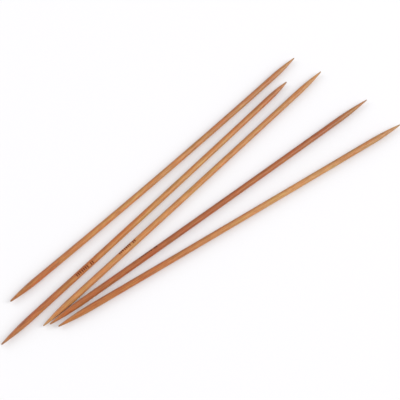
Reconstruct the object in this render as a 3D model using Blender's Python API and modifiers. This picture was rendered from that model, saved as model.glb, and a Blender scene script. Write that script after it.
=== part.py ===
"""A set of five double pointed knitting needles of lacquered bamboo, lying side by side in a loose fan.

Units are metres and +Z is up. The needles lie on the plane Z = 0 and the fan runs along +X, with the
middle of its outline over the origin. Each needle is one turned stick with a point at each end, so each
is one object, needle_1 at the +Y side of the fan to needle_5 at the -Y side.
"""

import math
from collections import namedtuple

import bpy

MM = 0.001

# One needle
NEEDLE_LENGTH = 200 * MM
BARREL_DIAMETER = 3.0 * MM
POINT_LENGTH = 18.5 * MM  # the turned point, from its blunt tip to the full barrel
POINT_FULLNESS = 1.95  # 1 is a straight cone, and a higher number is a more swollen point
TIP_RADIUS = 0.32 * MM  # the blunt end of the point
SHARP_TIP_BEYOND = 2.0 * MM  # where the point would end if it weren't blunted

# How finely a needle is faceted
FACETS = 20
TIP_STEPS = 2
POINT_STEPS = 8
BARREL_STEPS = 10

# How each needle lies: its middle along +X and +Y, its turn from +X towards +Y, and its natural bow,
# which is how far its middle stands out towards -Y from a straight line between its tips.
Lie = namedtuple("Lie", "along across turn_deg bow")
LIES = {
    "needle_1": Lie(4.7 * MM, 28.27 * MM, 3.55, 1.3 * MM),
    "needle_2": Lie(-10.65 * MM, 16.75 * MM, 5.05, 0.5 * MM),
    "needle_3": Lie(8.05 * MM, 10.15 * MM, 4.42, 0.2 * MM),
    "needle_4": Lie(10.8 * MM, -5.43 * MM, -3.72, 0.25 * MM),
    "needle_5": Lie(11.7 * MM, -18.41 * MM, -9.25, 0.15 * MM),
}

# Bamboo darkens when it is steamed, and no two sticks come out alike
BAMBOO_COLOURS = {
    "needle_1": (0.47, 0.195, 0.060),
    "needle_2": (0.47, 0.200, 0.060),
    "needle_3": (0.50, 0.225, 0.070),
    "needle_4": (0.39, 0.120, 0.035),
    "needle_5": (0.50, 0.225, 0.075),
}
LACQUER_ROUGHNESS = 0.42


def clear_scene():
    for item in list(bpy.data.objects):
        bpy.data.objects.remove(item, do_unlink=True)


def new_collection(name):
    collection = bpy.data.collections.new(name)
    bpy.context.scene.collection.children.link(collection)
    return collection


def bamboo_material(name, colour):
    material = bpy.data.materials.new(f"bamboo_{name}")
    material.use_nodes = True
    shader = material.node_tree.nodes["Principled BSDF"]
    shader.inputs["Base Color"].default_value = (*colour, 1.0)
    shader.inputs["Roughness"].default_value = LACQUER_ROUGHNESS
    shader.inputs["Metallic"].default_value = 0.0
    return material


def point_radius(from_tip):
    """Radius of the turned point at a distance from its blunt tip, without the rounding of the tip."""
    full_length = POINT_LENGTH + SHARP_TIP_BEYOND
    left = 1 - (from_tip + SHARP_TIP_BEYOND) / full_length
    return BARREL_DIAMETER / 2 * (1 - left**POINT_FULLNESS)


def point_outline():
    """(distance from the tip, radius) along one point, from the tip to the full barrel."""
    slope = point_radius(TIP_RADIUS) - point_radius(0)
    half_angle = math.atan2(slope, TIP_RADIUS)
    outline = [(0.0, 0.0)]
    for step in range(1, TIP_STEPS + 1):
        turn = (math.pi / 2 - half_angle) * step / (TIP_STEPS + 1)
        outline.append((TIP_RADIUS * (1 - math.cos(turn)), TIP_RADIUS * math.sin(turn)))
    for step in range(POINT_STEPS + 1):
        from_tip = TIP_RADIUS + (POINT_LENGTH - TIP_RADIUS) * step / POINT_STEPS
        outline.append((from_tip, point_radius(from_tip)))
    return outline


def needle_outline():
    """(radius, height) from the upper tip of a standing needle down to its lower tip."""
    point = point_outline()
    half = NEEDLE_LENGTH / 2
    barrel = half - POINT_LENGTH
    upper = [(radius, half - from_tip) for from_tip, radius in point]
    middle = [
        (BARREL_DIAMETER / 2, barrel - 2 * barrel * step / BARREL_STEPS) for step in range(1, BARREL_STEPS)
    ]
    lower = [(radius, from_tip - half) for from_tip, radius in reversed(point)]
    return upper + middle + lower


def outline_mesh():
    """The outline as an edge chain, turned half a facet so that flats and not corners face the axes.

    The corners stand out a little so that opposite flats are one barrel diameter apart.
    """
    half_facet = math.pi / FACETS
    to_corner = 1 / math.cos(half_facet)
    points = []
    for radius, height in needle_outline():
        corner = radius * to_corner
        points.append((corner * math.cos(half_facet), corner * math.sin(half_facet), height))
    edges = [(i, i + 1) for i in range(len(points) - 1)]
    mesh = bpy.data.meshes.new("needle_outline")
    mesh.from_pydata(points, edges, [])
    return mesh


def add_turning(needle):
    screw = needle.modifiers.new("turning", "SCREW")
    screw.axis = "Z"
    screw.angle = math.tau
    screw.steps = FACETS
    screw.render_steps = FACETS
    screw.use_merge_vertices = True
    screw.merge_threshold = 0.00001
    screw.use_smooth_shade = True


def add_bow(needle, bow):
    """Bends the needle along its length into the shallow arc whose middle stands out by bow."""
    bend = needle.modifiers.new("bow", "SIMPLE_DEFORM")
    bend.deform_method = "BEND"
    bend.deform_axis = "X"
    bend.angle = 8 * bow / NEEDLE_LENGTH


def add_needle(name, outline, lie, collection):
    """A needle is turned standing on end, bowed, and then laid down on its barrel."""
    mesh = outline.copy()
    mesh.name = name
    mesh.materials.append(bamboo_material(name, BAMBOO_COLOURS[name]))
    needle = bpy.data.objects.new(name, mesh)
    collection.objects.link(needle)
    add_turning(needle)
    add_bow(needle, lie.bow)
    turn = math.radians(lie.turn_deg)
    # The bend holds the middle still and moves the tips, so the middle goes out by the bow.
    middle_x = lie.along + lie.bow * math.sin(turn)
    middle_y = lie.across - lie.bow * math.cos(turn)
    needle.location = (middle_x, middle_y, BARREL_DIAMETER / 2)
    needle.rotation_mode = "XYZ"
    needle.rotation_euler = (0, math.pi / 2, turn)
    return needle


def main():
    clear_scene()
    collection = new_collection("double_pointed_needles")
    outline = outline_mesh()
    for name, lie in LIES.items():
        add_needle(name, outline, lie, collection)
    bpy.data.meshes.remove(outline)


main()
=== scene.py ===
"""The looks of the double pointed needles: five turned, stained and lacquered bamboo sticks on a pale table.

Every needle is rebuilt as a finely turned surface on the line, bow and radius that its CAD node has, with
its own two sanded points and a burnt mark of plain bars. Lengths are in millimetres unless a name ends in
_M, and they are turned into metres where a mesh or an object is made. A needle's near tip is its -X one.
"""

import math

import bpy
import numpy as np
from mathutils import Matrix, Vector, noise


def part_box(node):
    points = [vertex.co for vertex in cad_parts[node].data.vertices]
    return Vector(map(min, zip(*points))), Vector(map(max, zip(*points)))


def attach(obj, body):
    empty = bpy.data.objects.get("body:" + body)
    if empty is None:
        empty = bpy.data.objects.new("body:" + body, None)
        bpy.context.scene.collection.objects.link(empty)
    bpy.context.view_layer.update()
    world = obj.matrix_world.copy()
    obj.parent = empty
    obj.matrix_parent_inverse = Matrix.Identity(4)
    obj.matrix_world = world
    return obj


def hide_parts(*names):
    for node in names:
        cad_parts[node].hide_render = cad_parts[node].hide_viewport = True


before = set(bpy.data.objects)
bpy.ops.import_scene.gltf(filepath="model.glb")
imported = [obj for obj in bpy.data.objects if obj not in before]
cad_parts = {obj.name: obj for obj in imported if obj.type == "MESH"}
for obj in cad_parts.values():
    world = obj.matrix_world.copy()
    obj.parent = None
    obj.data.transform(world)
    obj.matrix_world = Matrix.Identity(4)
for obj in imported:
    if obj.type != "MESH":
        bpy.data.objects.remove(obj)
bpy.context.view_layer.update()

MM = 0.001

# ---------------------------------------------------------------- what the needles are like

POINT_FULLNESS = 1.95  # 1 is a straight cone, and a higher number is a more swollen point
TIP_RADIUS = 0.32
SHARP_TIP_BEYOND = 2.0  # where a point would end if it weren't blunted
SANDING_DEPTH = 0.02  # how far the sanding wanders into the barrel
SANDING_WAVE = 9.0  # how far along the needle it wanders before it turns back
SANDING_ROUND = 0.7  # the same round the needle: higher is more uneven

COLUMNS = 80  # round each needle
NOSE_RINGS = 6
POINT_RING_GAP = 0.4
BARREL_RING_GAP = 1.5
MARK_RING_GAP = 0.15
SPARE_MARK_RINGS = 2  # closely spaced rings before and after the mark
BOW_SAMPLE = 5.0  # half of the stretch at a needle's middle where its bow is measured

# The burnt mark is groups of plain bars across the needle, counted in rings from the mark's start. It runs
# slightly askew, as a hand-fed stamp leaves it, so each group lies some columns further round the needle.
BAR_GROUPS = ((0, 3, -1), (22, 3, 0), (43, 1, 1), (57, 2, 2))  # first ring, bars, columns round
BAR_RINGS = 3
BAR_PITCH_RINGS = 7
BAR_COLUMNS = 12
MARK_RINGS = 68
MARK_DEPTH = 0.05
SCORCH_REACH = 0.35  # how far the heat browned the bamboo round a bar
BAR_EDGE = 0.01  # what is nearer to a bar than this is in it
FAR_FROM_BARS = 99.0


class Look:
    """What sets one needle apart from the others."""

    def __init__(self, seed, points, mark_start, mark_turn_deg, stain_and_shade_turn_deg, tones):
        self.seed = seed
        self.points = points  # lengths of the near and the far point
        self.mark_start = mark_start  # from the near tip
        self.mark_turn_deg = mark_turn_deg  # from the top of the needle towards -Y
        self.stain_and_shade_turn_deg = stain_and_shade_turn_deg  # the same for the darker side, which is partly stain and partly painted shade on the side away from the light
        self.tones = tones  # the stain along the needle, as (share of its length, colour)


LOOKS = {
    "needle_1": Look(
        seed=11,
        points=(15.5, 19.0),
        mark_start=48.0,
        mark_turn_deg=172.0,
        stain_and_shade_turn_deg=-60.0,
        tones=(
            (0.0, (0.41, 0.155, 0.05)),
            (0.08, (0.445, 0.15, 0.045)),
            (0.3, (0.505, 0.215, 0.065)),
            (0.5, (0.495, 0.235, 0.08)),
            (0.7, (0.455, 0.185, 0.065)),
            (1.0, (0.435, 0.195, 0.075)),
        ),
    ),
    "needle_2": Look(
        seed=23,
        points=(17.5, 15.5),
        mark_start=44.7,
        mark_turn_deg=24.0,
        stain_and_shade_turn_deg=-50.0,
        tones=(
            (0.0, (0.39, 0.17, 0.065)),
            (0.08, (0.415, 0.135, 0.04)),
            (0.35, (0.485, 0.19, 0.05)),
            (0.6, (0.525, 0.27, 0.09)),
            (0.78, (0.505, 0.225, 0.075)),
            (0.9, (0.455, 0.165, 0.05)),
            (1.0, (0.41, 0.195, 0.08)),
        ),
    ),
    "needle_3": Look(
        seed=37,
        points=(17.5, 20.0),
        mark_start=47.6,
        mark_turn_deg=-24.0,
        stain_and_shade_turn_deg=-70.0,
        tones=(
            (0.0, (0.485, 0.23, 0.08)),
            (0.1, (0.525, 0.22, 0.075)),
            (0.5, (0.505, 0.24, 0.075)),
            (0.75, (0.475, 0.20, 0.065)),
            (1.0, (0.465, 0.24, 0.085)),
        ),
    ),
    "needle_4": Look(
        seed=41,
        points=(18.0, 23.5),
        mark_start=50.1,
        mark_turn_deg=-40.0,
        stain_and_shade_turn_deg=-60.0,
        tones=(
            (0.0, (0.435, 0.16, 0.045)),
            (0.12, (0.41, 0.125, 0.035)),
            (0.35, (0.365, 0.11, 0.032)),
            (0.65, (0.395, 0.12, 0.032)),
            (0.85, (0.35, 0.12, 0.04)),
            (1.0, (0.4, 0.165, 0.05)),
        ),
    ),
    "needle_5": Look(
        seed=59,
        points=(18.0, 20.0),
        mark_start=51.0,
        mark_turn_deg=198.0,
        stain_and_shade_turn_deg=-60.0,
        tones=(
            (0.0, (0.445, 0.19, 0.06)),
            (0.15, (0.425, 0.14, 0.038)),
            (0.3, (0.45, 0.17, 0.055)),
            (0.65, (0.555, 0.28, 0.105)),
            (1.0, (0.445, 0.22, 0.085)),
        ),
    ),
}

# ---------------------------------------------------------------- shader nodes


class Nodes:
    """Adds shader nodes; an input may be another node's output or a plain value."""

    def __init__(self, material):
        self.tree = material.node_tree

    def feed(self, socket, value):
        if isinstance(value, bpy.types.NodeSocket):
            self.tree.links.new(value, socket)
        else:
            socket.default_value = value

    def add(self, kind, inputs=None, **settings):
        made = self.tree.nodes.new(kind)
        for key, value in settings.items():
            setattr(made, key, value)
        for key, value in (inputs or {}).items():
            self.feed(made.inputs[key], value)
        return made

    def maths(self, operation, a, b=0.0):
        return self.add("ShaderNodeMath", {0: a, 1: b}, operation=operation).outputs[0]

    def vector(self, operation, a, b):
        return self.add("ShaderNodeVectorMath", {0: a, 1: b}, operation=operation).outputs

    def noise(self, vector, scale, detail=2.0, roughness=0.5):
        inputs = {"Vector": vector, "Scale": scale, "Detail": detail, "Roughness": roughness}
        return self.add("ShaderNodeTexNoise", inputs).outputs["Fac"]

    def cells(self, vector, scale):
        return self.add("ShaderNodeTexVoronoi", {"Vector": vector, "Scale": scale}).outputs["Distance"]

    def between(self, value, low, high, at_low=0.0, at_high=1.0):
        """at_low to at_high as the value goes from low to high, eased and held at both ends."""
        inputs = {"Value": value, "From Min": low, "From Max": high, "To Min": at_low, "To Max": at_high}
        return self.add("ShaderNodeMapRange", inputs, interpolation_type="SMOOTHSTEP").outputs[0]

    def mix(self, factor, a, b, blend="MIX"):
        made = self.add("ShaderNodeMix", data_type="RGBA", blend_type=blend)
        for place, value in ((0, factor), (6, a), (7, b)):
            self.feed(made.inputs[place], value)
        return made.outputs[2]

    def stain(self, factor, colour, tint):
        """The colour multiplied by the tint as far as the factor says."""
        return self.mix(factor, colour, (*tint, 1.0), "MULTIPLY")

    def tones(self, value, stops):
        made = self.add("ShaderNodeValToRGB", {"Fac": value})
        elements = made.color_ramp.elements
        while len(elements) < len(stops):
            elements.new(0.5)
        for element, (place, colour) in zip(elements, stops):
            element.position = place
            element.color = (*colour, 1.0)
        return made.outputs["Color"]


def new_material(name):
    material = bpy.data.materials.new(name)
    material.use_nodes = True
    return material, material.node_tree.nodes["Principled BSDF"]


# ---------------------------------------------------------------- camera, light and table

CAMERA_TARGET = (4.5, 3.6, 0.0)
CAMERA_DISTANCE = 399.8
CAMERA_AZIMUTH_DEG = -43.5
CAMERA_ELEVATION_DEG = 57.0
CAMERA_REACH_M = (0.01, 100.0)
LENS = 74.05
SENSOR_WIDTH = 36.0


def direction(azimuth_deg, elevation_deg):
    """From the object towards a viewer or a light; azimuth 0 is -Y and 90 is +X."""
    azimuth = math.radians(azimuth_deg)
    elevation = math.radians(elevation_deg)
    level = math.cos(elevation)
    return Vector((math.sin(azimuth) * level, -math.cos(azimuth) * level, math.sin(elevation)))


def add_camera():
    data = bpy.data.cameras.new("camera")
    data.lens = LENS
    data.sensor_width = SENSOR_WIDTH
    data.clip_start, data.clip_end = CAMERA_REACH_M
    camera = bpy.data.objects.new("camera", data)
    bpy.context.scene.collection.objects.link(camera)
    away = direction(CAMERA_AZIMUTH_DEG, CAMERA_ELEVATION_DEG)
    camera.location = (Vector(CAMERA_TARGET) + away * CAMERA_DISTANCE) * MM
    camera.rotation_euler = (-away).to_track_quat("-Z", "Y").to_euler()
    bpy.context.scene.camera = camera


# name: azimuth, elevation, watts
SOFTBOXES = {
    "softbox_right": (46.0, 32.0, 216.0),
    "softbox_behind": (192.0, 32.0, 104.0),
}
SOFTBOX_DISTANCE_M = 6.0
SOFTBOX_SIZE_M = 3.6
WORLD_STRENGTH = 0.80


def add_softbox(name, azimuth, elevation, watts):
    data = bpy.data.lights.new(name, "AREA")
    data.shape = "SQUARE"
    data.size = SOFTBOX_SIZE_M
    data.energy = watts
    light = bpy.data.objects.new(name, data)
    bpy.context.scene.collection.objects.link(light)
    away = direction(azimuth, elevation)
    light.location = away * SOFTBOX_DISTANCE_M
    light.rotation_euler = (-away).to_track_quat("-Z", "Y").to_euler()


def add_world():
    world = bpy.data.worlds.new("studio")
    world.use_nodes = True
    background = world.node_tree.nodes["Background"]
    background.inputs["Color"].default_value = (1.0, 1.0, 1.0, 1.0)
    background.inputs["Strength"].default_value = WORLD_STRENGTH
    bpy.context.scene.world = world


TABLE_HALF_M = 20.0
TABLE_COLOUR = (0.690, 0.684, 0.700)
TABLE_ROUGHNESS = 0.9
TABLE_SHINE = 0.1
TABLE_SHADOW_FILL_GLOW = 0.15  # the table glows with painted light, which keeps the shadows thin


def add_table():
    mesh = bpy.data.meshes.new("table")
    corners = [(-1, -1), (1, -1), (1, 1), (-1, 1)]
    mesh.from_pydata([(x * TABLE_HALF_M, y * TABLE_HALF_M, 0) for x, y in corners], [], [(0, 1, 2, 3)])
    table = bpy.data.objects.new("table", mesh)
    bpy.context.scene.collection.objects.link(table)
    material, shader = new_material("table")
    shader.inputs["Base Color"].default_value = (*TABLE_COLOUR, 1.0)
    shader.inputs["Roughness"].default_value = TABLE_ROUGHNESS
    shader.inputs["Specular IOR Level"].default_value = TABLE_SHINE
    # painted light: the table glows a little, which lightens the shadows of the needles on it
    shader.inputs["Emission Color"].default_value = (1.0, 1.0, 1.0, 1.0)
    shader.inputs["Emission Strength"].default_value = TABLE_SHADOW_FILL_GLOW
    mesh.materials.append(material)


# ---------------------------------------------------------------- a needle's line, from its CAD node


class Stick:
    """The straight line between a needle's tips, its bow towards the right of that line, and its radius."""

    def __init__(self, node):
        points = np.array([vertex.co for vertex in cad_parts[node].data.vertices]) / MM
        low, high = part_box(node)
        self.radius = (high.z - low.z) / 2 / MM
        self.near = points[points[:, 0].argmin()]
        far = points[points[:, 0].argmax()]
        self.length = float(np.linalg.norm(far - self.near))
        self.along = (far - self.near) / self.length
        self.right = np.array([self.along[1], -self.along[0], 0.0])
        self.up = np.array([0.0, 0.0, 1.0])
        distance = (points - self.near) @ self.along
        middle = np.abs(distance - self.length / 2) < BOW_SAMPLE
        aside = (points - self.near)[middle] @ self.right
        self.bow = (aside.max() + aside.min()) / 2

    def centre(self, distance):
        share = distance / self.length
        arc = 4 * self.bow * share * (1 - share)
        return self.near + self.along * distance + self.right * arc


def point_radius(from_tip, point_length, radius):
    """Radius of a turned point, which ends in a small ball and meets the barrel smoothly."""
    if from_tip >= point_length:
        return radius
    left = 1 - (from_tip + SHARP_TIP_BEYOND) / (point_length + SHARP_TIP_BEYOND)
    turned = radius * (1 - left**POINT_FULLNESS)
    if from_tip >= TIP_RADIUS:
        return turned
    ball = math.sqrt(TIP_RADIUS**2 - (TIP_RADIUS - from_tip) ** 2)
    return min(turned, ball)


def evenly(start, end, gap):
    return list(np.linspace(start, end, max(2, round((end - start) / gap) + 1)))


def end_rings(point_length):
    """Ring distances from a tip to the end of its point."""
    turns = [math.pi / 2 * step / NOSE_RINGS for step in range(1, NOSE_RINGS)]
    nose = [TIP_RADIUS * (1 - math.cos(turn)) for turn in turns]
    return nose + evenly(TIP_RADIUS, point_length, POINT_RING_GAP)


def ring_distances(length, look):
    """Where a needle's rings are, close together at the points and evenly spaced in the mark."""
    near, far = look.points
    mark_end = look.mark_start + MARK_RINGS * MARK_RING_GAP
    before = evenly(near + BARREL_RING_GAP, look.mark_start - BARREL_RING_GAP, BARREL_RING_GAP)
    mark_steps = range(-SPARE_MARK_RINGS, MARK_RINGS + SPARE_MARK_RINGS + 1)
    mark = [look.mark_start + step * MARK_RING_GAP for step in mark_steps]
    after = evenly(mark_end + BARREL_RING_GAP, length - far - BARREL_RING_GAP, BARREL_RING_GAP)
    far_rings = [length - distance for distance in reversed(end_rings(far))]
    return np.array(end_rings(near) + before + mark + after + far_rings)


# ---------------------------------------------------------------- the burnt mark


def bar_distance(ring, column, radius):
    """Distance from the nearest bar, for rings and columns counted from the mark's start and middle."""
    column_gap = math.tau * radius / COLUMNS
    nearest = np.full(np.broadcast(ring, column).shape, FAR_FROM_BARS)
    for first_ring, bars, columns_round in BAR_GROUPS:
        aside = np.maximum(np.abs(column - columns_round) - BAR_COLUMNS / 2, 0) * column_gap
        for bar in range(bars):
            start = first_ring + bar * BAR_PITCH_RINGS
            outside = np.maximum(np.maximum(start - ring, ring - start - BAR_RINGS), 0) * MARK_RING_GAP
            nearest = np.minimum(nearest, np.hypot(outside, aside))
    return nearest


# ---------------------------------------------------------------- a needle's surface


def turned_radii(distances, stick, look):
    near, far = look.points
    radii = []
    for distance in distances:
        near_radius = point_radius(distance, near, stick.radius)
        far_radius = point_radius(stick.length - distance, far, stick.radius)
        radii.append(min(near_radius, far_radius))
    return np.array(radii)


def sanding_loss(distances, angles, look):
    """How far below the turned surface each ring and column is, because the sanding wandered."""
    across = SANDING_ROUND * np.cos(angles) + look.seed
    upwards = SANDING_ROUND * np.sin(angles)
    loss = np.zeros((len(distances), len(angles)))
    for i, distance in enumerate(distances):
        for j in range(len(angles)):
            place = (distance / SANDING_WAVE, across[j], upwards[j])
            loss[i, j] = 0.5 + 0.5 * noise.noise(place)
    return SANDING_DEPTH * np.clip(loss, 0, 1)


def grid_faces(rings):
    """Quads between the rings, and then a fan of triangles at each tip."""
    row = np.arange(COLUMNS)
    turn = (row + 1) % COLUMNS
    start = np.arange(rings - 1)[:, None] * COLUMNS
    quads = np.stack([start + row, start + turn, start + COLUMNS + turn, start + COLUMNS + row], axis=-1)
    near_tip = rings * COLUMNS
    last = (rings - 1) * COLUMNS
    near_fan = [(near_tip, int(b), int(a)) for a, b in zip(row, turn)]
    far_fan = [(near_tip + 1, int(last + a), int(last + b)) for a, b in zip(row, turn)]
    return quads.reshape(-1, 4).tolist() + near_fan + far_fan


def store(mesh, name, kind, field, values):
    attribute = mesh.attributes.new(name, kind, "POINT")
    attribute.data.foreach_set(field, np.asarray(values, dtype=np.float32).ravel())


def needle_mesh(name, stick, look):
    distances = ring_distances(stick.length, look)
    angles = math.tau * np.arange(COLUMNS) / COLUMNS  # from the top of the needle towards its right
    mark_column = round(look.mark_turn_deg / 360 * COLUMNS)
    column = (np.arange(COLUMNS) - mark_column + COLUMNS // 2) % COLUMNS - COLUMNS // 2
    ring = (distances - look.mark_start) / MARK_RING_GAP
    from_bar = bar_distance(ring[:, None], column[None, :], stick.radius)
    burnt = from_bar < BAR_EDGE
    turned = turned_radii(distances, stick, look)[:, None]
    loss = sanding_loss(distances, angles, look) * turned / stick.radius
    reach = turned - loss - MARK_DEPTH * burnt

    sideways = reach * np.sin(angles)
    upwards = reach * np.cos(angles)
    centres = np.array([stick.centre(distance) for distance in distances])
    surface = centres[:, None, :] + sideways[..., None] * stick.right + upwards[..., None] * stick.up
    tips = [stick.centre(0.0), stick.centre(stick.length)]
    points = np.vstack([surface.reshape(-1, 3), tips])

    along = np.broadcast_to(distances[:, None], sideways.shape)
    in_stick = np.stack([along, sideways, upwards], axis=-1).reshape(-1, 3)
    in_stick = np.vstack([in_stick, [(0, 0, 0), (stick.length, 0, 0)]])
    scorch = np.append(np.clip(1 - from_bar / SCORCH_REACH, 0, 1), [0, 0])

    mesh = bpy.data.meshes.new(name)
    mesh.from_pydata((points * MM).tolist(), [], grid_faces(len(distances)))
    beside = np.roll(burnt, -1, axis=1)
    in_bar = burnt[:-1] & beside[:-1] & burnt[1:] & beside[1:]
    slots = np.append(in_bar.reshape(-1), np.zeros(2 * COLUMNS, dtype=bool)).astype(int)
    mesh.polygons.foreach_set("material_index", slots.tolist())
    mesh.polygons.foreach_set("use_smooth", [True] * len(slots))
    store(mesh, "stick", "FLOAT_VECTOR", "vector", in_stick)
    store(mesh, "scorch", "FLOAT", "value", scorch)
    mesh.update()
    return mesh


# ---------------------------------------------------------------- bamboo

PALE_FIBRE = (1.25, 1.22, 1.10)
DARK_FIBRE = (0.76, 0.67, 0.57)
RED_PATCH = (1.00, 0.84, 0.70)
GOLD_PATCH = (0.99, 1.14, 0.98)
BUNDLE_TINT = (0.55, 0.42, 0.32)
DARK_SIDE_STAIN_AND_SHADE = (0.72, 0.62, 0.55)
TIP_GRIME = (0.80, 0.96, 1.25)
SCORCHED = (0.62, 0.36, 0.18)
CHAR = (0.08, 0.015, 0.003)
CHAR_PALE = (0.15, 0.030, 0.006)
FIBRE_RELIEF_M = 0.00003
TIP_WEAR = 4.0  # how far the grime and the wear reach from a tip
LACQUER_COAT = 0.2
LACQUER_ROUGHNESS = 0.30
BAMBOO_SHINE = 0.3
CHAR_SHINE = 0.05


def bamboo_material(name, look, length):
    """Stained bamboo: fibre bundles that run the length of the stick and come out at its tapered points.

    The grain is placed by the stick attribute, in millimetres along, across and up from the needle's line.
    """
    material, shader = new_material(name)
    nodes = Nodes(material)
    stick = nodes.add("ShaderNodeAttribute", attribute_name="stick").outputs["Vector"]
    scorch = nodes.add("ShaderNodeAttribute", attribute_name="scorch").outputs["Fac"]
    along = nodes.add("ShaderNodeSeparateXYZ", {0: stick}).outputs["X"]
    placed = nodes.vector("ADD", stick, (look.seed * 31.0, look.seed * 7.0, look.seed * 3.0))[0]

    def stretched(share):
        return nodes.vector("MULTIPLY", placed, (share, 1.0, 1.0))[0]

    fibres = nodes.noise(stretched(0.05), 4.5, 4.0, 0.6)
    hairs = nodes.noise(stretched(0.03), 13.0, 2.0, 0.6)
    patches = nodes.noise(stretched(0.16), 0.55, 2.0, 0.55)
    bundle_cores = nodes.between(nodes.cells(stretched(0.012), 2.6), 0.14, 0.34, 1.0, 0.0)
    breaks = nodes.between(nodes.noise(stretched(0.16), 1.1, 2.0), 0.40, 0.58)
    bundles = nodes.maths("MULTIPLY", bundle_cores, breaks)

    stain_and_shade_turn = math.radians(look.stain_and_shade_turn_deg)
    side = nodes.vector("DOT_PRODUCT", stick, (0.0, math.sin(stain_and_shade_turn), math.cos(stain_and_shade_turn)))["Value"]
    wavy_side = nodes.maths("ADD", side, nodes.maths("MULTIPLY", patches, 1.2))
    from_near = nodes.between(along, 0.0, TIP_WEAR, 1.0, 0.0)
    from_far = nodes.between(along, length - TIP_WEAR, length, 0.0, 1.0)
    tips = nodes.maths("MAXIMUM", from_near, from_far)

    colour = nodes.tones(nodes.maths("DIVIDE", along, length), look.tones)
    colour = nodes.stain(nodes.between(patches, 0.36, 0.50, 1.0, 0.0), colour, RED_PATCH)
    colour = nodes.stain(nodes.between(patches, 0.52, 0.66), colour, GOLD_PATCH)
    # the darker side is partly real stain and partly painted shade, where the needle turns away from the
    # light
    colour = nodes.stain(nodes.between(wavy_side, 0.9, 2.1), colour, DARK_SIDE_STAIN_AND_SHADE)
    colour = nodes.stain(nodes.between(fibres, 0.36, 0.50, 1.0, 0.0), colour, DARK_FIBRE)
    colour = nodes.stain(nodes.between(fibres, 0.52, 0.68), colour, PALE_FIBRE)
    colour = nodes.stain(nodes.between(hairs, 0.40, 0.60, 0.5, 0.0), colour, DARK_FIBRE)
    colour = nodes.stain(nodes.maths("MULTIPLY", bundles, 0.8), colour, BUNDLE_TINT)
    colour = nodes.stain(nodes.maths("MULTIPLY", tips, 0.9), colour, TIP_GRIME)
    colour = nodes.stain(nodes.maths("POWER", scorch, 1.5), colour, SCORCHED)
    nodes.feed(shader.inputs["Base Color"], colour)

    worn = nodes.maths("MULTIPLY", tips, 0.12)
    rough = nodes.maths("ADD", nodes.between(fibres, 0.35, 0.65, 0.46, 0.36), worn)
    rough = nodes.maths("ADD", rough, nodes.maths("MULTIPLY", bundles, 0.10))
    nodes.feed(shader.inputs["Roughness"], rough)
    shader.inputs["Coat Weight"].default_value = LACQUER_COAT
    shader.inputs["Coat Roughness"].default_value = LACQUER_ROUGHNESS
    shader.inputs["Specular IOR Level"].default_value = BAMBOO_SHINE

    height = nodes.maths("ADD", fibres, nodes.maths("MULTIPLY", hairs, 0.5))
    height = nodes.maths("SUBTRACT", height, nodes.maths("MULTIPLY", bundles, 0.5))
    bump = nodes.add("ShaderNodeBump", {"Height": height, "Distance": FIBRE_RELIEF_M, "Strength": 0.6})
    nodes.feed(shader.inputs["Normal"], bump.outputs["Normal"])
    return material


def char_material(name, look):
    """The burnt bottom of the mark: charred fibres, dull and a little uneven."""
    material, shader = new_material(name)
    nodes = Nodes(material)
    stick = nodes.add("ShaderNodeAttribute", attribute_name="stick").outputs["Vector"]
    placed = nodes.vector("ADD", stick, (look.seed * 5.0, 0.0, 0.0))[0]
    grain = nodes.noise(nodes.vector("MULTIPLY", placed, (0.5, 1.0, 1.0))[0], 9.0, 3.0, 0.6)
    pale_share = nodes.between(grain, 0.35, 0.65)
    nodes.feed(shader.inputs["Base Color"], nodes.mix(pale_share, (*CHAR, 1.0), (*CHAR_PALE, 1.0)))
    nodes.feed(shader.inputs["Roughness"], nodes.between(grain, 0.3, 0.7, 0.85, 0.65))
    shader.inputs["Specular IOR Level"].default_value = CHAR_SHINE
    bump = nodes.add("ShaderNodeBump", {"Height": grain, "Distance": FIBRE_RELIEF_M, "Strength": 0.8})
    nodes.feed(shader.inputs["Normal"], bump.outputs["Normal"])
    return material


def add_needle(node, look):
    stick = Stick(node)
    piece = bpy.data.objects.new(f"{node}_bamboo", needle_mesh(f"{node}_bamboo", stick, look))
    bpy.context.scene.collection.objects.link(piece)
    piece.data.materials.append(bamboo_material(f"{node}_bamboo", look, stick.length))
    piece.data.materials.append(char_material(f"{node}_char", look))
    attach(piece, node)
    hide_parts(node)


# ---------------------------------------------------------------- the scene

bpy.context.scene.view_settings.view_transform = "Standard"
add_camera()
add_world()
for softbox, (light_azimuth, light_elevation, light_watts) in SOFTBOXES.items():
    add_softbox(softbox, light_azimuth, light_elevation, light_watts)
add_table()
for needle, needle_look in LOOKS.items():
    add_needle(needle, needle_look)
